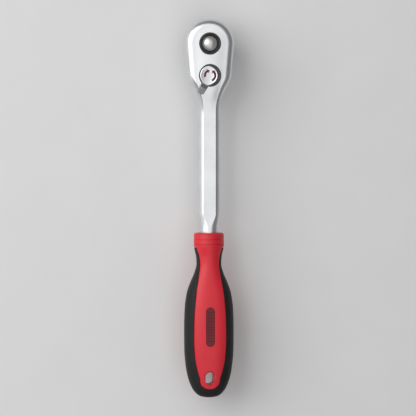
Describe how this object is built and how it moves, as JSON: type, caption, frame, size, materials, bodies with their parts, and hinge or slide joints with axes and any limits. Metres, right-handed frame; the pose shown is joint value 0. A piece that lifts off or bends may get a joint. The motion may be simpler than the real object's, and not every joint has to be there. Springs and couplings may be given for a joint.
{
  "type": "ratchet wrench",
  "caption": "Reversible half-inch square drive ratchet with a pear-shaped chrome head, bevelled shank, thumb lever, quick-release button and a red and black moulded handle with a hanging eye.",
  "frame": {"origin": "centre of the square drive's end face, on the drive axis", "axes": "+Z along the drive axis from the square's end to the release button, +Y from the handle towards the toe of the head, +X to the right seen from the button side with the head up"},
  "size_m": [0.0328, 0.25, 0.0384],
  "materials": {
    "satin_chrome": "satin",
    "dark_steel": "black oxide, oiled",
    "bright_steel": "turned and polished",
    "spring_steel": "drawn wire",
    "red_plastic": "moulded, semi-gloss",
    "dark_plastic": "moulded, matt",
    "black_rubber": "soft-touch, finely textured",
    "seal_rubber": "smooth"
  },
  "bodies": {
    "frame": {"head_and_shank": "satin_chrome", "cover_plate": "satin_chrome", "cover_screw_1": "dark_steel", "cover_screw_2": "dark_steel", "cover_screw_3": "dark_steel", "drive_seal": "seal_rubber", "pawl_pin": "bright_steel", "thrust_washer": "bright_steel", "handle_core": "red_plastic", "grip_inlay": "dark_plastic", "soft_grip": "black_rubber"},
    "drive": {"drive_gear": "dark_steel", "button_snap_ring": "spring_steel"},
    "button": {"release_button": "bright_steel", "release_pin": "bright_steel", "release_spring": "spring_steel"},
    "ball": {"detent_ball": "bright_steel"},
    "pawl": {"pawl": "dark_steel"},
    "selector": {"selector_lever": "satin_chrome", "selector_stem": "bright_steel", "selector_seal": "seal_rubber"},
    "plunger": {"pawl_plunger": "bright_steel", "plunger_spring": "spring_steel"}
  },
  "joints": [
    {"name": "drive_spin", "type": "hinge", "parent": "frame", "child": "drive", "pos_m": [0, 0, 0.025], "axis": [0, 0, 1], "continuous": true},
    {"name": "button_press", "type": "slide", "parent": "drive", "child": "button", "axis": [0, 0, -1], "range_m": [0, 0.0028], "stiffness_N_per_m": 1200, "springref_m": -0.003, "deforming": ["release_spring"]},
    {"name": "ball_retract", "type": "slide", "parent": "drive", "child": "ball", "axis": [0, -1, 0], "range_m": [0, 0.0013]},
    {"name": "selector_swing", "type": "hinge", "parent": "frame", "child": "selector", "pos_m": [0, -0.0211, 0.025], "axis": [0, 0, 1], "range_deg": [0, 60]},
    {"name": "pawl_rock", "type": "hinge", "parent": "frame", "child": "pawl", "pos_m": [0, -0.0135, 0.025], "axis": [0, 0, 1], "range_deg": [-9.5, 0]},
    {"name": "plunger_slide", "type": "slide", "parent": "selector", "child": "plunger", "axis": [0.5, 0.866, 0], "range_m": [-0.0009, 0], "stiffness_N_per_m": 1500, "springref_m": 0.002, "deforming": ["plunger_spring"]}
  ],
  "couplings": [
    {"joint": "ball_retract", "follows": "button_press", "ratio": 0.4464},
    {"joint": "pawl_rock", "follows": "selector_swing", "ratio": -0.15833}
  ]
}
